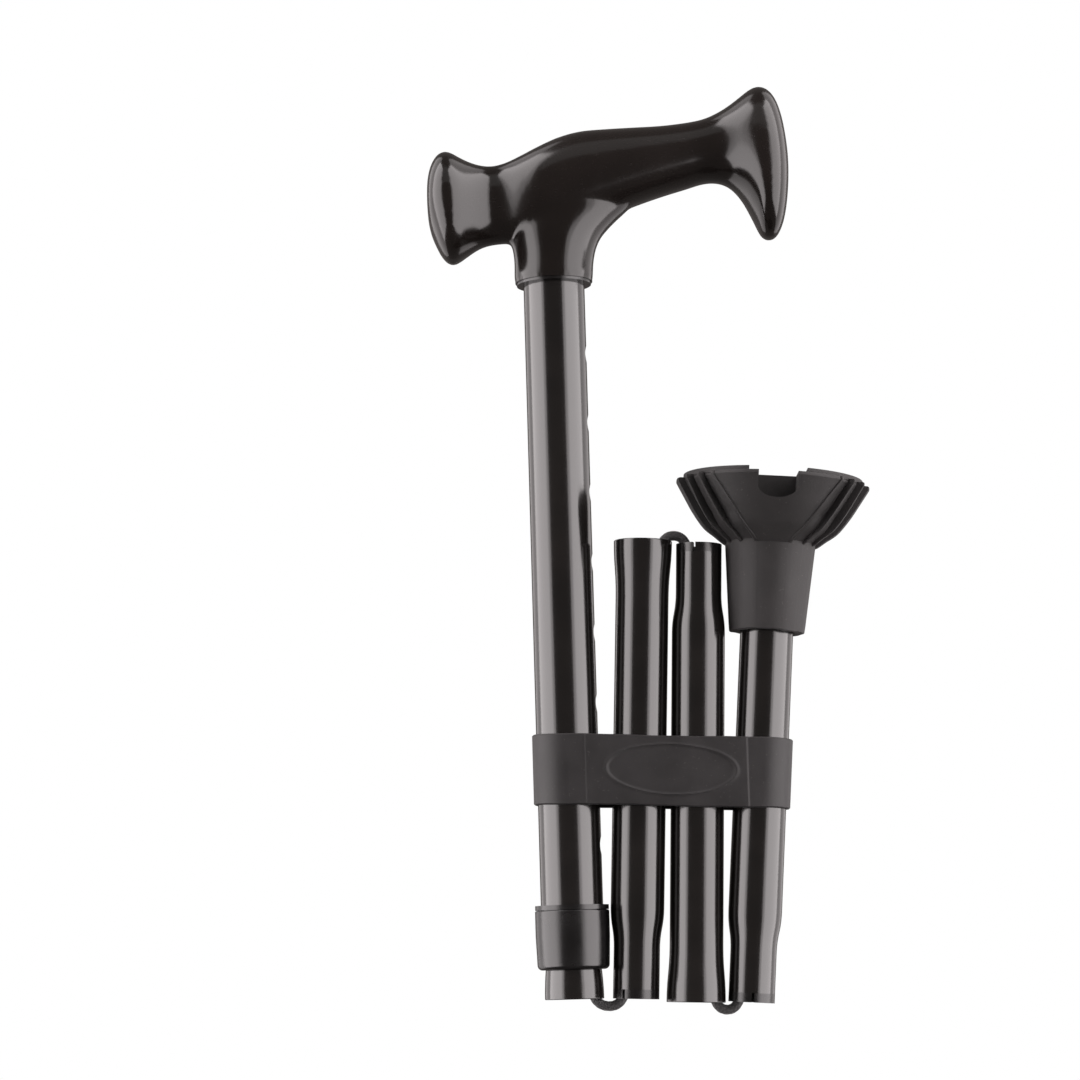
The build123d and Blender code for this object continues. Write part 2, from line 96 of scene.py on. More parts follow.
def tintOf(tree, value, dark, light, low=0.35, high=0.65):
    ramp = tree.nodes.new("ShaderNodeValToRGB")
    ramp.color_ramp.elements[0].position = low
    ramp.color_ramp.elements[0].color = (*dark, 1)
    ramp.color_ramp.elements[1].position = high
    ramp.color_ramp.elements[1].color = (*light, 1)
    tree.links.new(value, ramp.inputs["Fac"])
    return ramp.outputs["Color"]


def bumpFrom(tree, height, distance, under=None):
    bump = tree.nodes.new("ShaderNodeBump")
    bump.inputs["Strength"].default_value = 1.0
    bump.inputs["Distance"].default_value = distance
    tree.links.new(height, bump.inputs["Height"])
    if under is not None:
        tree.links.new(under, bump.inputs["Normal"])
    return bump.outputs["Normal"]


def mathOf(tree, operation, first, second):
    node = tree.nodes.new("ShaderNodeMath")
    node.operation = operation
    for socket, value in zip(node.inputs, (first, second)):
        if isinstance(value, (int, float)):
            socket.default_value = value
        else:
            tree.links.new(value, socket)
    return node.outputs["Value"]


def pieceFrom(name, vertices, faces, finish, smooth=True):
    mesh = bpy.data.meshes.new(name)
    mesh.from_pydata([tuple(v) for v in vertices], [], faces)
    mesh.materials.append(finish)
    shape = bmesh.new()
    shape.from_mesh(mesh)
    bmesh.ops.remove_doubles(shape, verts=shape.verts, dist=1e-7)
    bmesh.ops.recalc_face_normals(shape, faces=shape.faces)
    shape.to_mesh(mesh)
    shape.free()
    if smooth:
        mesh.shade_smooth()
    piece = bpy.data.objects.new(name, mesh)
    bpy.context.scene.collection.objects.link(piece)
    return piece


def ringsToFaces(ringCount, ringSize, start=0):
    # closed rings one after another, the first vertex of the first ring being number start
    faces = []
    for row in range(ringCount - 1):
        near, far = start + row * ringSize, start + (row + 1) * ringSize
        for step in range(ringSize):
            after = (step + 1) % ringSize
            faces.append((near + step, near + after, far + after, far + step))
    return faces


def bakeModifiers(piece):
    evaluated = piece.evaluated_get(bpy.context.evaluated_depsgraph_get())
    baked = bpy.data.meshes.new_from_object(evaluated)
    piece.modifiers.clear()
    piece.data = baked


def sharpenBy(piece, degrees):
    piece.data.shade_smooth()
    piece.data.set_sharp_from_angle(angle=math.radians(degrees))


def smoothLine(points, count):
    # a Catmull-Rom line through points, resampled to count points by length
    fine = []
    last = len(points) - 1
    for index in range(last):
        before = points[max(index - 1, 0)]
        here, there = points[index], points[index + 1]
        after = points[min(index + 2, last)]
        for step in range(24):
            t = step / 24
            fine.append([0.5 * (2 * b + (c - a) * t + (2 * a - 5 * b + 4 * c - d) * t * t
                                + (3 * b - a - 3 * c + d) * t ** 3)
                         for a, b, c, d in zip(before, here, there, after)])
    fine.append(list(points[-1]))
    lengths = [0.0]
    for a, b in zip(fine, fine[1:]):
        lengths.append(lengths[-1] + math.dist(a[:3], b[:3]))
    out, at = [], 0
    for step in range(count):
        wanted = lengths[-1] * step / (count - 1)
        while at < len(fine) - 2 and lengths[at + 1] < wanted:
            at += 1
        share = (wanted - lengths[at]) / max(lengths[at + 1] - lengths[at], 1e-12)
        out.append([a + (b - a) * share for a, b in zip(fine[at], fine[at + 1])])
    return out


lacquer = {
    "colour": (0.0030, 0.0026, 0.0024), "worn": (0.0052, 0.0044, 0.0040),
    "roughness": (0.15, 0.19), "ripple": 0.000003, "coat": 0.35, "coatRoughness": 0.11,
}


def makeLacquer():
    finish, tree, shader = newFinish("blackLacquer")
    along = placeOn(tree, (1.0, 1.0, 0.06))
    anyWay = placeOn(tree, (1.0, 1.0, 1.0))
    streaks = noiseAt(tree, along, 900.0, 4.0)
    haze = noiseAt(tree, anyWay, 60.0, 4.0)
    dust = noiseAt(tree, anyWay, 2600.0, 1.0)
    tint = tintOf(tree, haze, lacquer["colour"], lacquer["worn"])
    tree.links.new(tint, shader.inputs["Base Color"])
    low, high = lacquer["roughness"]
    mixed = mathOf(tree, "ADD", mathOf(tree, "MULTIPLY", streaks, 0.35),
                   mathOf(tree, "MULTIPLY", haze, 0.65))
    speck = mathOf(tree, "MULTIPLY", mathOf(tree, "GREATER_THAN", dust, 0.76), 0.05)
    tree.links.new(mathOf(tree, "ADD", rangeOf(tree, mixed, low, high), speck),
                   shader.inputs["Roughness"])
    ripple = noiseAt(tree, along, 420.0, 2.0)
    tree.links.new(bumpFrom(tree, ripple, lacquer["ripple"]), shader.inputs["Normal"])
    shader.inputs["IOR"].default_value = 1.55
    shader.inputs["Coat Weight"].default_value = lacquer["coat"]
    shader.inputs["Coat Roughness"].default_value = lacquer["coatRoughness"]
    shader.inputs["Coat IOR"].default_value = 1.4
    return finish


gloss = {
    "colour": (0.0042, 0.0032, 0.0028), "worn": (0.0066, 0.0050, 0.0044),
    "roughness": (0.15, 0.20), "peel": 0.000008, "scuffs": 0.10, "specular": 0.36,
    "coat": 0.12, "coatRoughness": 0.12,
}


def makeGloss():
    finish, tree, shader = newFinish("handleGloss")
    anyWay = placeOn(tree, (1.0, 1.0, 1.0))
    cloudy = noiseAt(tree, anyWay, 34.0, 5.0)
    peel = noiseAt(tree, anyWay, 420.0, 2.0)
    fine = noiseAt(tree, placeOn(tree, (1.0, 8.0, 3.0)), 500.0, 3.0)
    tree.links.new(tintOf(tree, cloudy, gloss["colour"], gloss["worn"]),
                   shader.inputs["Base Color"])
    low, high = gloss["roughness"]
    scuffs = mathOf(tree, "MULTIPLY", mathOf(tree, "GREATER_THAN", fine, 0.68), gloss["scuffs"])
    tree.links.new(mathOf(tree, "ADD", rangeOf(tree, cloudy, low, high), scuffs),
                   shader.inputs["Roughness"])
    tree.links.new(bumpFrom(tree, peel, gloss["peel"]), shader.inputs["Normal"])
    shader.inputs["IOR"].default_value = 1.5
    shader.inputs["Specular IOR Level"].default_value = gloss["specular"]
    shader.inputs["Coat Weight"].default_value = gloss["coat"]
    shader.inputs["Coat Roughness"].default_value = gloss["coatRoughness"]
    shader.inputs["Coat IOR"].default_value = 1.4
    return finish


satin = {
    "colour": (0.0024, 0.0022, 0.0023), "light": (0.0046, 0.0043, 0.0044),
    "roughness": (0.20, 0.29), "grain": 0.00002,
}


def makeSatin():
    finish, tree, shader = newFinish("satinPlastic")
    anyWay = placeOn(tree, (1.0, 1.0, 1.0))
    cloudy = noiseAt(tree, anyWay, 90.0, 4.0)
    grain = noiseAt(tree, anyWay, 3200.0, 2.0)
    turning = noiseAt(tree, placeOn(tree, (0.1, 0.1, 3.0)), 700.0, 2.0)
    tree.links.new(tintOf(tree, cloudy, satin["colour"], satin["light"]),
                   shader.inputs["Base Color"])
    tree.links.new(rangeOf(tree, cloudy, *satin["roughness"]), shader.inputs["Roughness"])
    ground = bumpFrom(tree, turning, satin["grain"] * 0.5)
    tree.links.new(bumpFrom(tree, grain, satin["grain"], under=ground), shader.inputs["Normal"])
    shader.inputs["IOR"].default_value = 1.5
    return finish


def makeRubber(name, settings):
    # dull moulded rubber: a fine grain, bloom in patches, and scattered pale specks
    finish, tree, shader = newFinish(name)
    anyWay = placeOn(tree, (1.0, 1.0, 1.0))
    bloom = noiseAt(tree, anyWay, settings["patch"], 5.0, 0.6)
    grain = noiseAt(tree, anyWay, 2600.0, 3.0)
    pores = noiseAt(tree, anyWay, 700.0, 4.0)
    base = tintOf(tree, bloom, settings["colour"], settings["bloom"], 0.3, 0.72)
    specks = mathOf(tree, "GREATER_THAN", noiseAt(tree, anyWay, 1150.0, 1.0), 0.735)
    mix = tree.nodes.new("ShaderNodeMix")
    mix.data_type = "RGBA"
    tree.links.new(mathOf(tree, "MULTIPLY", specks, 0.5), mix.inputs[0])
    tree.links.new(base, mix.inputs[6])
    mix.inputs[7].default_value = (*settings["speck"], 1)
    tree.links.new(mix.outputs[2], shader.inputs["Base Color"])
    tree.links.new(rangeOf(tree, bloom, *settings["roughness"]), shader.inputs["Roughness"])
    ground = bumpFrom(tree, pores, settings["grain"])
    tree.links.new(bumpFrom(tree, grain, settings["grain"] * 0.5, under=ground),
                   shader.inputs["Normal"])
    shader.inputs["IOR"].default_value = 1.5
    shader.inputs["Specular IOR Level"].default_value = 0.26
    shader.inputs["Sheen Weight"].default_value = 0.03
    shader.inputs["Sheen Roughness"].default_value = 0.5
    return finish


footRubber = {
    "colour": (0.0110, 0.0102, 0.0102), "bloom": (0.0175, 0.0162, 0.0162),
    "speck": (0.05, 0.048, 0.046), "roughness": (0.52, 0.68), "grain": 0.00004, "patch": 55.0,
}
bandRubber = {
    "colour": (0.0105, 0.0098, 0.0100), "bloom": (0.0155, 0.0144, 0.0148),
    "speck": (0.04, 0.038, 0.037), "roughness": (0.44, 0.56), "grain": 0.00003, "patch": 70.0,
}


cordFinish = {
    "dark": (0.006, 0.006, 0.0065), "light": (0.022, 0.021, 0.022),
    "roughness": (0.45, 0.75), "fibre": 0.00008, "sheen": 0.3,
}


def makeCordFinish():
    finish, tree, shader = newFinish("braidedCord")
    anyWay = placeOn(tree, (1.0, 1.0, 1.0))
    fibre = noiseAt(tree, anyWay, 2400.0, 3.0)
    tree.links.new(tintOf(tree, fibre, cordFinish["dark"], cordFinish["light"]),
                   shader.inputs["Base Color"])
    tree.links.new(rangeOf(tree, fibre, *cordFinish["roughness"]), shader.inputs["Roughness"])
    tree.links.new(bumpFrom(tree, fibre, cordFinish["fibre"]), shader.inputs["Normal"])
    shader.inputs["Sheen Weight"].default_value = cordFinish["sheen"]
    return finish


metals = {
    "polishedBrass": {"dark": (0.62, 0.42, 0.16), "light": (0.82, 0.6, 0.28),
                      "roughness": (0.14, 0.26)},
    "plainSteel": {"dark": (0.42, 0.42, 0.43), "light": (0.6, 0.6, 0.61),
                   "roughness": (0.24, 0.4)},
}


def makeMetal(name):
    finish, tree, shader = newFinish(name)
    anyWay = placeOn(tree, (1.0, 1.0, 1.0))
    turned = noiseAt(tree, placeOn(tree, (6.0, 0.4, 0.4)), 900.0, 3.0)
    worn = noiseAt(tree, anyWay, 220.0, 4.0)
    metal = metals[name]
    tree.links.new(tintOf(tree, worn, metal["dark"], metal["light"]), shader.inputs["Base Color"])
    tree.links.new(rangeOf(tree, turned, *metal["roughness"]), shader.inputs["Roughness"])
    tree.links.new(bumpFrom(tree, turned, 0.00001), shader.inputs["Normal"])
    shader.inputs["Metallic"].default_value = 1.0
    return finish


blackLacquer = makeLacquer()
handleGloss = makeGloss()
satinPlastic = makeSatin()
rubberOfFoot = makeRubber("footRubber", footRubber)
rubberOfBand = makeRubber("bandRubber", bandRubber)
braidedCord = makeCordFinish()
brass = makeMetal("polishedBrass")
steel = makeMetal("plainSteel")

finishOfSlot = {
    "tube_gloss": blackLacquer, "handle_gloss": handleGloss, "dark_plastic": satinPlastic,
    "plug_plastic": satinPlastic, "foot_rubber": rubberOfFoot, "band_rubber": rubberOfBand,
    "cord": braidedCord, "brass": brass, "steel": steel,
}
for subpart in frame["record"]["subparts"]:
    node = nodes[subpart["node"]]
    node.data.materials.clear()
    node.data.materials.append(finishOfSlot[subpart["material_slot"]])
    sharpenBy(node, 32)
print("finishes made")


handle = {
    # along X, top, underside, half width, squareness of the section; all in millimetres
    "stations": [
        (-45.3, -5.6, -12.4, 5.0, 2.0), (-45.0, -1.6, -17.2, 10.0, 2.0),
        (-44.1, 2.6, -21.6, 14.2, 2.0), (-42.6, 5.8, -25.6, 17.0, 2.05),
        (-40.6, 8.1, -29.6, 18.9, 2.1), (-38.4, 8.8, -32.2, 19.9, 2.1),
        (-36.2, 8.2, -32.9, 19.8, 2.1), (-33.6, 6.6, -31.6, 18.4, 2.1),
        (-30.0, 4.8, -29.2, 15.6, 2.1), (-26.0, 3.5, -27.0, 12.7, 2.1),
        (-21.5, 3.1, -26.0, 10.6, 2.1), (-16.5, 4.2, -25.6, 11.5, 2.1),
        (-11.0, 6.5, -25.0, 13.9, 2.15), (-4.5, 9.6, -23.6, 16.0, 2.2),
        (3.0, 12.8, -21.8, 16.7, 2.2), (11.0, 14.8, -19.8, 16.6, 2.2),
        (20.0, 15.4, -16.6, 16.0, 2.2), (30.0, 15.7, -12.9, 15.3, 2.2),
        (40.0, 16.0, -9.6, 14.5, 2.2), (49.0, 16.9, -7.1, 13.7, 2.15),
        (56.0, 18.2, -5.2, 13.2, 2.1), (61.5, 20.5, -5.3, 13.6, 2.1),
        (66.0, 23.2, -7.5, 15.3, 2.1), (70.0, 26.2, -12.4, 17.3, 2.1),
        (73.6, 28.9, -19.6, 19.0, 2.1), (76.4, 30.0, -25.7, 19.9, 2.1),
        (79.0, 29.4, -27.1, 19.9, 2.1), (81.2, 27.6, -26.4, 19.0, 2.1),
        (83.2, 24.2, -23.6, 17.2, 2.05), (84.9, 18.6, -18.8, 14.0, 2.0),
        (86.1, 11.0, -11.8, 9.6, 2.0), (86.7, 4.6, -4.4, 4.7, 2.0),
    ],
    # height, middle and half sizes along and across the grip
    "skirt": [
        (-40.8, 0.0, 14.4, 14.4), (-37.0, 0.05, 14.35, 14.3), (-33.0, 0.3, 14.5, 14.2),
        (-28.5, 0.6, 15.2, 14.1), (-24.0, 1.2, 16.8, 14.1), (-19.0, 3.0, 19.6, 14.0),
        (-13.0, 6.0, 23.0, 13.4), (-6.0, 8.5, 24.0, 12.0),
    ],
    # the height of the straight lip at the skirt's lower edge
    "lip": 1.0,
    "voxel": 0.8 * mm, "rounds": 26,
}


def ovalRing(centre, across, up, halfAcross, halfUp, squareness, count=72):
    ring = []
    for step in range(count):
        angle = 2 * math.pi * step / count
        c, s = math.cos(angle), math.sin(angle)
        x = math.copysign(abs(c) ** (2 / squareness), c) * halfAcross
        y = math.copysign(abs(s) ** (2 / squareness), s) * halfUp
        ring.append(centre + across * x + up * y)
    return ring


def closedLoft(name, rings, finish):
    size = len(rings[0])
    vertices = [v for ring in rings for v in ring]
    faces = ringsToFaces(len(rings), size)
    for ringIndex in (0, len(rings) - 1):
        middle = sum(rings[ringIndex], Vector()) / size
        vertices.append(middle)
        hub = len(vertices) - 1
        start = ringIndex * size
        faces += [(start + step, start + (step + 1) % size, hub) for step in range(size)]
    return pieceFrom(name, vertices, faces, finish)


def makeHandle():
    # the grip and the skirt as one closed skin; it is solid, with no bore for the tubes
    line = smoothLine([(x, top, bottom, wide, square)
                       for x, top, bottom, wide, square in handle["stations"]], 190)
    grip = closedLoft("grip", [
        ovalRing(Vector((x, 0, (top + bottom) / 2)) * mm, Vector((0, 1, 0)), Vector((0, 0, 1)),
                 max(wide, 0.5) * mm, max(top - bottom, 1.0) / 2 * mm, square)
        for x, top, bottom, wide, square in line], handleGloss)
    line = smoothLine([(z, middle, along, across) for z, middle, along, across
                       in handle["skirt"]], 50)
    skirt = closedLoft("skirt", [
        ovalRing(Vector((middle, 0, z)) * mm, Vector((1, 0, 0)), Vector((0, 1, 0)),
                 along * mm, across * mm, 2.0) for z, middle, along, across in line], handleGloss)
    both = bmesh.new()
    both.from_mesh(grip.data)
    both.from_mesh(skirt.data)
    both.to_mesh(grip.data)
    both.free()
    bpy.data.objects.remove(skirt)
    remesh = grip.modifiers.new("remesh", "REMESH")
    remesh.mode = "VOXEL"
    remesh.voxel_size = handle["voxel"]
    remesh.use_smooth_shade = True
    soften = grip.modifiers.new("soften", "SMOOTH")
    soften.factor = 0.5
    soften.iterations = handle["rounds"]
    bakeModifiers(grip)
    # the skirt's lower edge is cut level again, where the thin ring sits
    trimmed = bmesh.new()
    trimmed.from_mesh(grip.data)
    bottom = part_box("handle")[0].z
    cut = bmesh.ops.bisect_plane(
        trimmed, geom=trimmed.verts[:] + trimmed.edges[:] + trimmed.faces[:],
        plane_co=(0, 0, bottom + handle["lip"] * mm), plane_no=(0, 0, -1), clear_outer=True)
    rim = [e for e in cut["geom_cut"] if isinstance(e, bmesh.types.BMEdge)]
    wall = bmesh.ops.extrude_edge_only(trimmed, edges=rim)
    lowered = [v for v in wall["geom"] if isinstance(v, bmesh.types.BMVert)]
    for vertex in lowered:
        vertex.co.z = bottom
    edges = [e for e in wall["geom"] if isinstance(e, bmesh.types.BMEdge)]
    bmesh.ops.contextual_create(trimmed, geom=edges)
    bmesh.ops.recalc_face_normals(trimmed, faces=trimmed.faces)
    trimmed.to_mesh(grip.data)
    trimmed.free()
    grip.name = "palmHandle"
    grip.data.materials.clear()
    grip.data.materials.append(handleGloss)
    sharpenBy(grip, 50)
    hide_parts("handle")
    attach(grip, "handle_section")
    return grip


palmHandle = makeHandle()
print("handle made,", len(palmHandle.data.polygons), "faces")


foot = {
    "socketLength": 31.4, "mouthRadius": 13.6, "baseRadius": 16.2, "boreRadius": 9.55,
    "boreDepth": 12.0,
    # distance from the socket's mouth, and radius, of the flaring side
    "flare": [(31.5, 17.2), (32.6, 18.7), (33.8, 20.2), (37.0, 24.4), (42.4, 28.5),
              (48.2, 32.0), (53.0, 34.8)],
    "rim": 54.2, "rimRadius": 34.8,
    # the three ribs' angles from the side, at the socket and at the rim, in degrees
    "ribsAtBase": (25.0, 46.0, 68.0), "ribsAtRim": (24.0, 36.5, 48.0),
    "ribDepth": (1.6, 3.2, 2.6), "ribWidth": 1.3, "panelDrop": 0.22,
    "notchWidth": 14.0, "notchStraight": 5.3, "notchDepth": 9.1, "hubRadius": 20.0,
    "padHeight": 1.6, "padGap": 10.3, "padRadius": 32.3, "padBorder": 1.3, "padCount": 5,
    "padGroove": 1.1,
}
groundFace = next(m for m in frame["record"]["mounts"] if m["name"] == "ground_face")
footAxis = Vector(groundFace["axis"]).normalized()
footAcross = Vector((footAxis.z, 0, -footAxis.x))
padMiddle = 0.018  # the mount lies this far to the side and to the back of the tread's middle
treadMiddle = Vector(groundFace["pos_m"]) - (footAcross + Vector((0, 1, 0))) * padMiddle
footMouth = treadMiddle - footAxis * (foot["rim"] + foot["padHeight"]) * mm


def footPoint(x, y, along):
    return footMouth + (footAcross * x + Vector((0, 1, 0)) * y + footAxis * along) * mm


def ribColumns():
    # over a quarter turn: (rib, millimetres from its middle or None, share between ribs, drop)
    half = foot["ribWidth"] / 2
    columns = [(0, None, 0.0, 0.0), (0, None, 0.12, 0.0), (0, None, 0.24, 0.0),
               (0, None, 0.34, 0.1), (0, None, 0.36, 1.0), (0, None, 0.5, 1.0)]
    for rib in (1, 2, 3):
        inner = 1.0 if rib < 3 else foot["panelDrop"]
        columns += [(rib - 1, None, 0.8, 1.0), (rib, -half - 0.12, 0, 1.0), (rib, -half, 0, 0.25),
                    (rib, -half + 0.22, 0, 0.0), (rib, half - 0.22, 0, 0.0),
                    (rib, half, 0, 0.25 if rib < 3 else inner / 2), (rib, half + 0.12, 0, inner)]
        if rib < 3:
            columns.append((rib, None, 0.5, 1.0))
    columns += [(3, None, 0.1 + 0.9 * step / 15, foot["panelDrop"]) for step in range(16)]
    return columns


def ribAngle(column, level, radius):
    rib, offset, share, drop = column
    edges = [0.0] + [a + (b - a) * level for a, b in zip(foot["ribsAtBase"], foot["ribsAtRim"])]
    edges.append(90.0)
    if offset is not None:
        return edges[rib] + math.degrees(offset / radius)
    return edges[rib] + (edges[rib + 1] - edges[rib]) * share


def ribDrop(column, level):
    start, middle, end = foot["ribDepth"]
    depth = start + (middle - start) * min(level * 2, 1) + (end - middle) * max(level * 2 - 1, 0)
    return depth * column[3]


def footRows():
    # (distance from the mouth, radius, share up the flare or -1 on the socket)
    rows = [(0.9, foot["boreRadius"], -1), (0.25, foot["boreRadius"] + 0.7, -1),
            (0.05, foot["mouthRadius"] - 1.0, -1), (0.0, foot["mouthRadius"] - 0.5, -1),
            (0.25, foot["mouthRadius"] - 0.1, -1)]
    length = foot["socketLength"]
    for step in range(1, 15):
        share = step / 14
        radius = foot["mouthRadius"] + (foot["baseRadius"] - foot["mouthRadius"]) * share
        rows.append((0.5 + (length - 1.1) * share, radius, -1))
    rows.append((length - 0.35, foot["baseRadius"] + 0.02, -1))
    flare = smoothLine([(along, radius) for along, radius in foot["flare"]], 34)
    for number, (along, radius) in enumerate(flare):
        rows.append((along, radius, number / (len(flare) - 1)))
    rim, edge, face = foot["rim"], foot["rimRadius"], foot["rim"] - 0.05
    rows += [(rim - 0.5, edge, 1), (rim - 0.15, edge - 0.15, 1), (rim, edge - 0.5, 1),
             (rim, edge - 1.4, 1), (face, 31.0, 2), (face, 20.0, 2), (face, 8.0, 2)]
    return rows


def makeFoot():
    quarter = ribColumns()
    columns = []
    for number in range(4):
        run = quarter if number % 2 == 0 else quarter[::-1]
        columns += [(number, column) for column in run]

    def turnOf(number, column, level, radius):
        angle = ribAngle(column, level, radius)
        return math.radians((0, 180, 180, 360)[number] + (angle, -angle, angle, -angle)[number])

    vertices = []
    rows = footRows()
    for rowNumber, (along, radius, share) in enumerate(rows):
        for number, column in columns:
            level = min(max(share, 0.0), 1.0)
            turn = turnOf(number, column, level, max(radius, 16.0))
            reach = radius
            if 0 <= share <= 1:
                reach = max(radius - ribDrop(column, level), foot["baseRadius"] + 0.03)
            wobble = 0.0
            if rowNumber < 5:  # the moulded lip of the socket is not quite even
                wobble = 0.16 * math.sin(3 * turn + 0.6) + 0.1 * math.sin(8 * turn)
            vertices.append(footPoint(reach * math.cos(turn), reach * math.sin(turn),
                                      along + wobble))
    size = len(columns)
    faces = ringsToFaces(len(rows), size)
    vertices.append(footPoint(0, 0, foot["rim"] - 0.05))
    top = (len(rows) - 1) * size
    faces += [(top + step, top + (step + 1) % size, len(vertices) - 1) for step in range(size)]
    # a short bore for the tube, closed at its end
    low = len(vertices)
    for number, column in columns:
        turn = turnOf(number, column, 0.0, 16.0)
        reach = foot["boreRadius"]
        vertices.append(footPoint(reach * math.cos(turn), reach * math.sin(turn),
                                  foot["boreDepth"]))
    faces += [(step, (step + 1) % size, low + (step + 1) % size, low + step) for step in range(size)]
    vertices.append(footPoint(0, 0, foot["boreDepth"]))
    faces += [(low + step, low + (step + 1) % size, len(vertices) - 1) for step in range(size)]
    return pieceFrom("rubberFoot", vertices, faces, rubberOfFoot)


def makeNotchCutter(side):
    half = foot["notchWidth"] / 2
    outline = [(-half, foot["rim"] + 3), (-half, foot["rim"] - foot["notchStraight"])]
    drop = foot["notchDepth"] - foot["notchStraight"]
    for step in range(1, 16):
        turn = math.pi * step / 16
        outline.append((-half * math.cos(turn),
                        foot["rim"] - foot["notchStraight"] - drop * math.sin(turn)))
    outline += [(half, foot["rim"] - foot["notchStraight"]), (half, foot["rim"] + 3)]
    vertices, count = [], len(outline)
    for reach in (foot["hubRadius"], 40.0):
        vertices += [footPoint(x, side * reach, along) for x, along in outline]
    faces = [tuple(range(count)), tuple(range(count, 2 * count))]
    faces += [(i, (i + 1) % count, count + (i + 1) % count, count + i) for i in range(count)]
    return pieceFrom("notchCutter", vertices, faces, rubberOfFoot, smooth=False)


rubberFoot = makeFoot()
for side in (-1, 1):
    cutter = makeNotchCutter(side)
    cut = rubberFoot.modifiers.new("notch", "BOOLEAN")
    cut.operation = "DIFFERENCE"
    cut.solver = "EXACT"
    cut.object = cutter
    bakeModifiers(rubberFoot)
    bpy.data.objects.remove(cutter)
rubberFoot.data.materials.clear()
rubberFoot.data.materials.append(rubberOfFoot)
sharpenBy(rubberFoot, 28)
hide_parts("foot")
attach(rubberFoot, "section_3")


def makeTread():
    # on each side of the middle channel a plate with a border, and blocks inside it
    vertices, faces = [], []

    def addBlock(side, near, far, radius, low, high):
        outline = []
        for step in range(25):
            x = near + (far - near) * step / 24
            outline.append((x, math.sqrt(max(radius ** 2 - x * x, 0.04))))
        outline += [(x, -y) for x, y in outline[::-1]]
        start, count = len(vertices), len(outline)
        middle = (near + far) / 2
        for inset, along in ((0.0, low), (0.0, high - 0.15), (0.15, high)):
            for x, y in outline:
                inX = x - math.copysign(min(inset, abs(x - middle)), x - middle)
                inY = y - math.copysign(min(inset, abs(y)), y)
                vertices.append(footPoint(side * inX, inY, along))
        faces.extend(ringsToFaces(3, count, start))
        faces.append(tuple(start + 2 * count + step for step in range(count)))

    def addBorder(side, near, radius, edge, low, high):
        outer, inner = [], []
        for step in range(41):
            place = math.sin(math.pi / 2 * step / 40)
            x = near + (radius - near) * place
            outer.append((x, math.sqrt(max(radius ** 2 - x * x, 0.0025))))
            x = near + edge + (radius - near - 2 * edge) * place
            inner.append((x, math.sqrt(max((radius - edge) ** 2 - x * x, 0.0025))))
        outer += [(x, -y) for x, y in outer[::-1]]
        inner += [(x, -y) for x, y in inner[::-1]]
        start, count = len(vertices), len(outer)
        for line, along in ((outer, low), (outer, high), (inner, high), (inner, low)):
            vertices.extend(footPoint(side * x, y, along) for x, y in line)
        faces.extend(ringsToFaces(4, count, start))

    rim, high = foot["rim"] - 0.3, foot["rim"] + foot["padHeight"]
    radius, edge = foot["padRadius"], foot["padBorder"]
    width = (radius - 2 * edge - foot["padGap"]) / foot["padCount"]
    for side in (-1, 1):
        addBlock(side, foot["padGap"] + 0.3, radius - 0.6, radius - 0.5, rim, high - 0.9)
        addBorder(side, foot["padGap"], radius, edge, rim, high)
        for number in range(foot["padCount"]):
            near = foot["padGap"] + edge + number * width
            addBlock(side, near + foot["padGroove"] / 2, near + width - foot["padGroove"] / 2,
                     radius - edge - 0.9, high - 1.0, high - 0.02)
    tread = pieceFrom("footTread", vertices, faces, rubberOfFoot)
    sharpenBy(tread, 30)
    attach(tread, "section_3")


makeTread()
print("foot made,", len(rubberFoot.data.polygons), "faces")


band = {
    # its share of the folded width that it would keep off the sections
    "keep": 0.31,
    "height": 25.0, "middle": -218.4, "lean": 2.6, "thickness": 1.4, "gap": 0.3,
    "leftRadius": 11.1, "rightRadius": 9.525, "sectionLean": 4.45, "sectionNeck": (62.5, -302.1),
    # the thicker front panel's ends and the plain oval on it, along the front in millimetres
    "panel": (6.2, 63.6), "panelRise": 0.28, "oval": (36.4, 0.6, 23.2, 8.9), "ovalRim": 0.32,
    "edgeRound": 0.45,
}


def bandOutline(height, offset, count):
    # a point list round the two end tubes, with its outward directions, all in millimetres
    lean = math.radians(band["sectionLean"])
    reach = band["sectionNeck"][0] + math.tan(lean) * (height - 3.0 - band["sectionNeck"][1])
    left = band["leftRadius"] + band["gap"] + offset
    right = band["rightRadius"] + band["gap"] + offset
    tilt = math.asin((left - right) / reach)
    front = reach * math.cos(tilt)
    spans = [front, right * (math.pi - 2 * tilt), front, left * (math.pi + 2 * tilt)]
    total = sum(spans)
    out = []
    for step in range(count):
        at = total * step / count
        if at < spans[0]:  # front, from left to right
            nx, ny = math.sin(tilt), -math.cos(tilt)
            x, y = left * nx + at * math.cos(tilt), left * ny + at * math.sin(tilt)
        elif at < spans[0] + spans[1]:
            turn = -math.pi / 2 + tilt + (at - spans[0]) / right
            nx, ny = math.cos(turn), math.sin(turn)
            x, y = reach + right * nx, right * ny
        elif at < spans[0] + spans[1] + spans[2]:
            back = at - spans[0] - spans[1]
            nx, ny = math.sin(tilt), math.cos(tilt)
            x, y = reach + right * nx - back * math.cos(tilt), right * ny + back * math.sin(tilt)
        else:
            turn = math.pi / 2 - tilt + (at - spans[0] - spans[1] - spans[2]) / left
            nx, ny = math.cos(turn), math.sin(turn)
            x, y = left * nx, left * ny
        out.append((x, y, nx, ny))
    return out


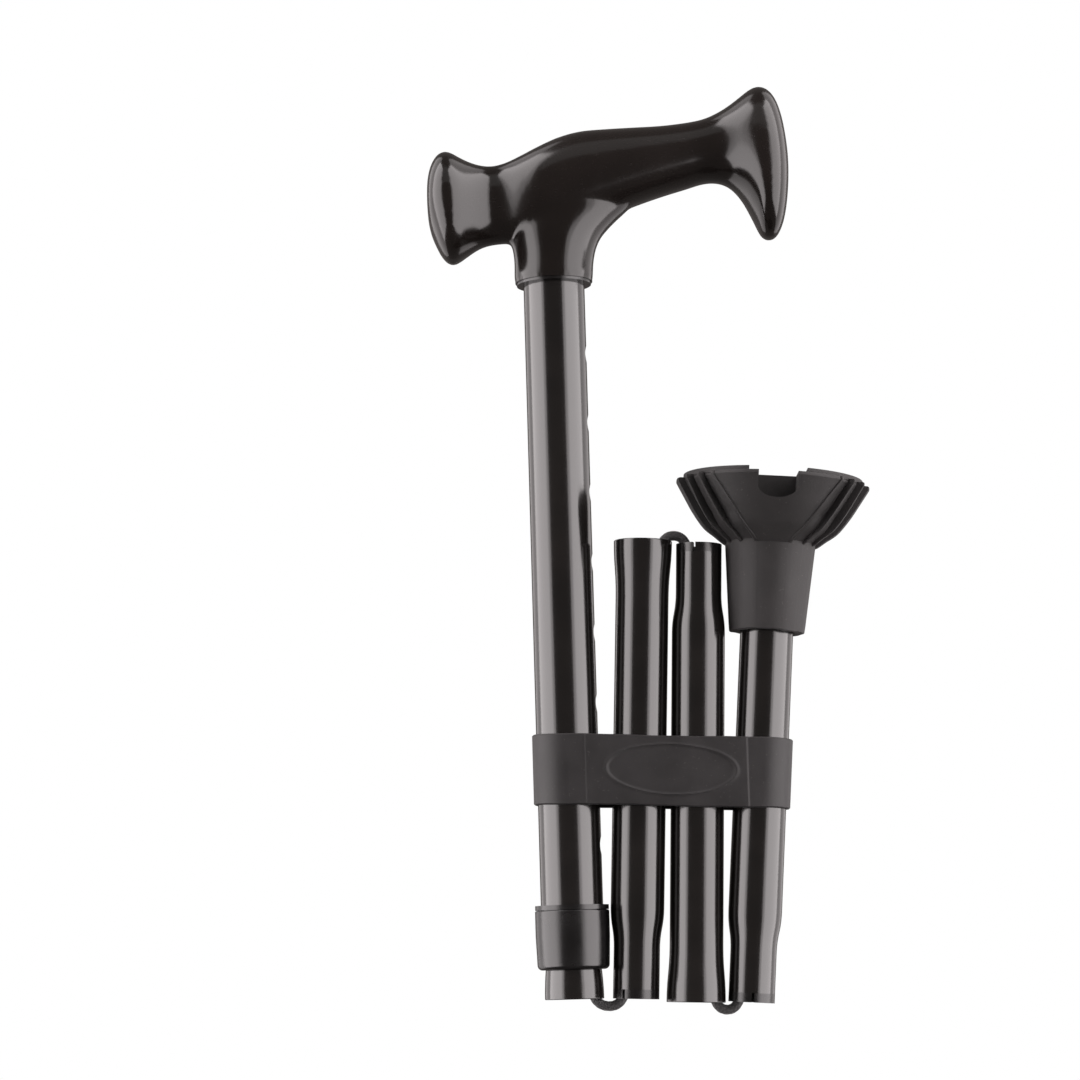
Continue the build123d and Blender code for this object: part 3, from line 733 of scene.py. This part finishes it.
def makeBand():
    half = band["height"] / 2
    slope = math.tan(math.radians(band["lean"]))
    levels = 61
    sides, count = [], 640
    for offset in (band["thickness"], 0.0):
        for level in range(levels):
            side = -half + band["height"] * level / (levels - 1)
            near = half - abs(side)
            rounding = 0.0
            if near < band["edgeRound"]:
                rounding = band["edgeRound"] - math.sqrt(
                    max(band["edgeRound"] ** 2 - (band["edgeRound"] - near) ** 2, 0))
            outer = offset > 0
            drawn = offset - rounding if outer else offset + rounding
            ring = []
            for x, y, nx, ny in bandOutline(band["middle"] + side, drawn, count):
                push = 0.0
                if outer and y < 0 and ny < -0.9:
                    start, end = band["panel"]
                    inside = min(x - start, end - x)
                    push += band["panelRise"] * min(max(inside / 0.35 + 0.5, 0), 1) - band["panelRise"]
                    ox, oz, wide, high = band["oval"]
                    gap = (math.hypot((x - ox) / wide, (side - oz) / high) - 1.0) * high
                    push += band["ovalRim"] * math.exp(-(gap / 0.34) ** 2) if abs(gap) < 2 else 0.0
                    push -= 0.12 * min(max(-gap / 0.5, 0), 1)
                elif outer:
                    push -= band["panelRise"]
                wave = 0.14 * math.sin(x * 0.11 + side * 0.05) + 0.05 * math.sin(x * 0.37)
                ring.append(Vector((x + nx * push, y + ny * push,
                                    band["middle"] + side + wave - slope * x)) * mm)
            sides.append(ring)
    outer, inner = sides[:levels], sides[levels:]
    rings = outer + inner[::-1] + [outer[0]]
    vertices = [v for ring in rings for v in ring]
    piece = pieceFrom("storageBand", vertices, ringsToFaces(len(rings), count), rubberOfBand)
    sharpenBy(piece, 45)
    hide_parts("storage_band")
    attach(piece, "storage_band")
    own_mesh(piece)
    return piece


storageBand = makeBand()
print("band made,", len(storageBand.data.polygons), "faces")


elastic = {
    "radius": 1.72, "braid": 0.17, "strands": 8, "pitch": 7.5, "around": 56, "step": 0.16,
    # a loop's deep end lies this far from its tube's axis, and this is the share of its width
    # that it would keep, drawn in towards that axis, with its fold open
    "offset": 5.0, "keep": 0.3,
    # each loop's route, the body that it rides, and the fold it belongs to
    "loops": [
        {"route": [(0.005, 0, -0.2683), (0.005, 0, -0.2853), (0.0065, 0, -0.3019),
                   (0.018032, 0, -0.302179), (0.018481, 0, -0.292589)],
         "body": "inner_section", "joint": "fold_upper"},
        {"route": [(0.032935, 0, -0.167729), (0.03373, 0, -0.150747), (0.036005, 0, -0.134235),
                   (0.046007, 0, -0.135558), (0.045622, 0, -0.14515)],
         "body": "section_1", "joint": "fold_middle"},
        {"route": [(0.049183, 0, -0.270794), (0.0485, 0, -0.28778), (0.049333, 0, -0.304427),
                   (0.058709, 0, -0.304413), (0.059454, 0, -0.294842)],
         "body": "section_2", "joint": "fold_lower"},
    ],
}


def routeLine(points):
    # the smooth line of a NURBS spline through the route, as evenly spaced points
    curveData = bpy.data.curves.new("route", "CURVE")
    curveData.dimensions = "3D"
    spline = curveData.splines.new("NURBS")
    spline.points.add(len(points) - 1)
    for target, point in zip(spline.points, points):
        target.co = (*point, 1)
    spline.order_u = 3
    spline.use_endpoint_u = True
    spline.resolution_u = 48
    curve = bpy.data.objects.new("route", curveData)
    bpy.context.scene.collection.objects.link(curve)
    line = bpy.data.meshes.new_from_object(curve.evaluated_get(
        bpy.context.evaluated_depsgraph_get()))
    found = [v.co.copy() for v in line.vertices]
    bpy.data.objects.remove(curve)
    lengths = [0.0]
    for a, b in zip(found, found[1:]):
        lengths.append(lengths[-1] + (b - a).length)
    count = int(lengths[-1] / (elastic["step"] * mm))
    even, at = [], 0
    for step in range(count + 1):
        wanted = lengths[-1] * step / count
        while at < len(found) - 2 and lengths[at + 1] < wanted:
            at += 1
        share = (wanted - lengths[at]) / max(lengths[at + 1] - lengths[at], 1e-12)
        even.append(found[at].lerp(found[at + 1], min(share, 1.0)))
    return even


def braidAlong(name, line):
    # the braid's two sets of strands cross over and under each other round the line
    vertices, rings = [], len(line)
    side = Vector((0, 1, 0))
    for index in range(rings):
        ahead = line[min(index + 1, len(line) - 1)] - line[max(index - 1, 0)]
        ahead.normalize()
        out = ahead.cross(side).normalized()
        along = index * elastic["step"]
        for step in range(elastic["around"]):
            turn = 2 * math.pi * step / elastic["around"]
            phase = 2 * math.pi * along / elastic["pitch"] * elastic["strands"] / 4
            one = math.cos(elastic["strands"] * turn / 2 + phase)
            other = math.cos(elastic["strands"] * turn / 2 - phase)
            rise = elastic["braid"] * (max(abs(one), abs(other)) - 0.75)
            reach = (elastic["radius"] + rise) * mm
            vertices.append(line[index] + (out * math.cos(turn) + side * math.sin(turn)) * reach)
    size = elastic["around"]
    faces = ringsToFaces(rings, size)
    faces.append(tuple(range(size)))
    faces.append(tuple(range((rings - 1) * size, rings * size)))
    piece = pieceFrom(name, vertices, faces, braidedCord)
    sharpenBy(piece, 60)
    return piece


for number, loop in enumerate(elastic["loops"]):
    line = routeLine(loop["route"])
    piece = braidAlong(f"cordLoop{number + 1}", line)
    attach(piece, loop["body"])
    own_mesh(piece)
    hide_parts(f"cord_loop_{number + 1}")
print("cord loops made")


view = {"distance": 1.2, "elevation": -7.5, "lens": 110.97, "target": (-0.00768, 0.0, -0.1350),
        "lean": 1.62}
elevation = math.radians(view["elevation"])
target = Vector(view["target"])
cameraData = bpy.data.cameras.new("camera")
cameraData.lens = view["lens"]
cameraData.sensor_width = 36.0
cameraData.clip_start = 0.01
cameraData.clip_end = 50
camera = bpy.data.objects.new("camera", cameraData)
bpy.context.scene.collection.objects.link(camera)
back = Vector((0, -math.cos(elevation), math.sin(elevation)))
camera.location = target + back * view["distance"]
facing = (-back).to_track_quat("-Z", "Y").to_matrix()
roll = Matrix.Rotation(math.radians(-view["lean"]), 3, "Z")
camera.rotation_euler = (facing @ roll).to_euler()
bpy.context.scene.camera = camera

# its height is where the tread stands when every section is out
ground = {"height": -0.9425, "reach": 3.0, "colour": (0.9, 0.9, 0.9, 1), "glow": 0.55}
floorMesh = bpy.data.meshes.new("floor")
reach, level = ground["reach"], ground["height"]
floorMesh.from_pydata([(-reach, -reach, level), (reach, -reach, level), (reach, reach, level),
                       (-reach, reach, level)], [], [(0, 1, 2, 3)])
floor = bpy.data.objects.new("floor", floorMesh)
bpy.context.scene.collection.objects.link(floor)
floorFinish, floorTree, floorShader = newFinish("paleFloor")
floorShader.inputs["Base Color"].default_value = ground["colour"]
floorShader.inputs["Roughness"].default_value = 0.8
floorShader.inputs["Emission Color"].default_value = (1, 1, 1, 1)
floorShader.inputs["Emission Strength"].default_value = ground["glow"]
floorMesh.materials.append(floorFinish)
floor.visible_glossy = False
floor.visible_diffuse = False

studio = {
    "background": 1.0, "fill": 0.16, "fillColour": (1, 0.91, 0.87, 1),
    "softboxColour": (1.0, 0.945, 0.95), "overheadColour": (1.0, 1.0, 1.0),
    # azimuth from the camera's side, distance, width, height, radiance
    "softboxes": [(66.0, 1.35, 1.95, 4.6, 2.9), (69.0, 1.30, 1.45, 4.4, 2.3),
                  (121.0, 1.35, 1.25, 4.6, 1.2),
                  (-76.0, 1.35, 1.9, 4.6, 2.9), (-78.0, 1.30, 1.4, 4.4, 2.3),
                  (-127.0, 1.35, 1.1, 4.6, 1.2)],
    "middle": 1.15,
    # the wide dim panel over the front: place, size, radiance
    "overhead": ((0.0, -0.85, 1.35), (1.5, 1.1), 0.42),
}
world = bpy.data.worlds.new("studio")
bpy.context.scene.world = world
world.use_nodes = True
worldTree = world.node_tree
worldTree.nodes.clear()
# the camera sees a white background, and the pieces only the dimmer, warmer fill
seen = addNode(worldTree, "ShaderNodeBackground", Color=(1, 1, 1, 1),
               Strength=studio["background"])
unseen = addNode(worldTree, "ShaderNodeBackground", Color=studio["fillColour"],
                 Strength=studio["fill"])
rays = worldTree.nodes.new("ShaderNodeLightPath")
choose = worldTree.nodes.new("ShaderNodeMixShader")
out = worldTree.nodes.new("ShaderNodeOutputWorld")
worldTree.links.new(rays.outputs["Is Camera Ray"], choose.inputs["Fac"])
worldTree.links.new(unseen.outputs["Background"], choose.inputs[1])
worldTree.links.new(seen.outputs["Background"], choose.inputs[2])
worldTree.links.new(choose.outputs["Shader"], out.inputs["Surface"])


def addPanel(name, place, aim, width, height, radiance, colour):
    lightData = bpy.data.lights.new(name, "AREA")
    lightData.shape = "RECTANGLE"
    lightData.size = width
    lightData.size_y = height
    lightData.energy = radiance * math.pi * width * height
    lightData.color = colour
    light = bpy.data.objects.new(name, lightData)
    light.location = place
    towards = Vector(aim) - light.location
    light.rotation_euler = towards.to_track_quat("-Z", "Y").to_euler()
    light.visible_camera = False
    bpy.context.scene.collection.objects.link(light)


for number, (azimuth, distance, width, height, radiance) in enumerate(studio["softboxes"]):
    turn = math.radians(azimuth)
    place = (distance * math.sin(turn), -distance * math.cos(turn), studio["middle"])
    addPanel(f"softbox{number + 1}", place, (0.03, 0, studio["middle"]), width, height,
             radiance, studio["softboxColour"])
place, (width, depth), radiance = studio["overhead"]
addPanel("overhead", place, (0.03, 0, 0), width, depth, radiance, studio["overheadColour"])

bpy.context.scene.view_settings.view_transform = "Standard"
print("camera, floor and lights placed")
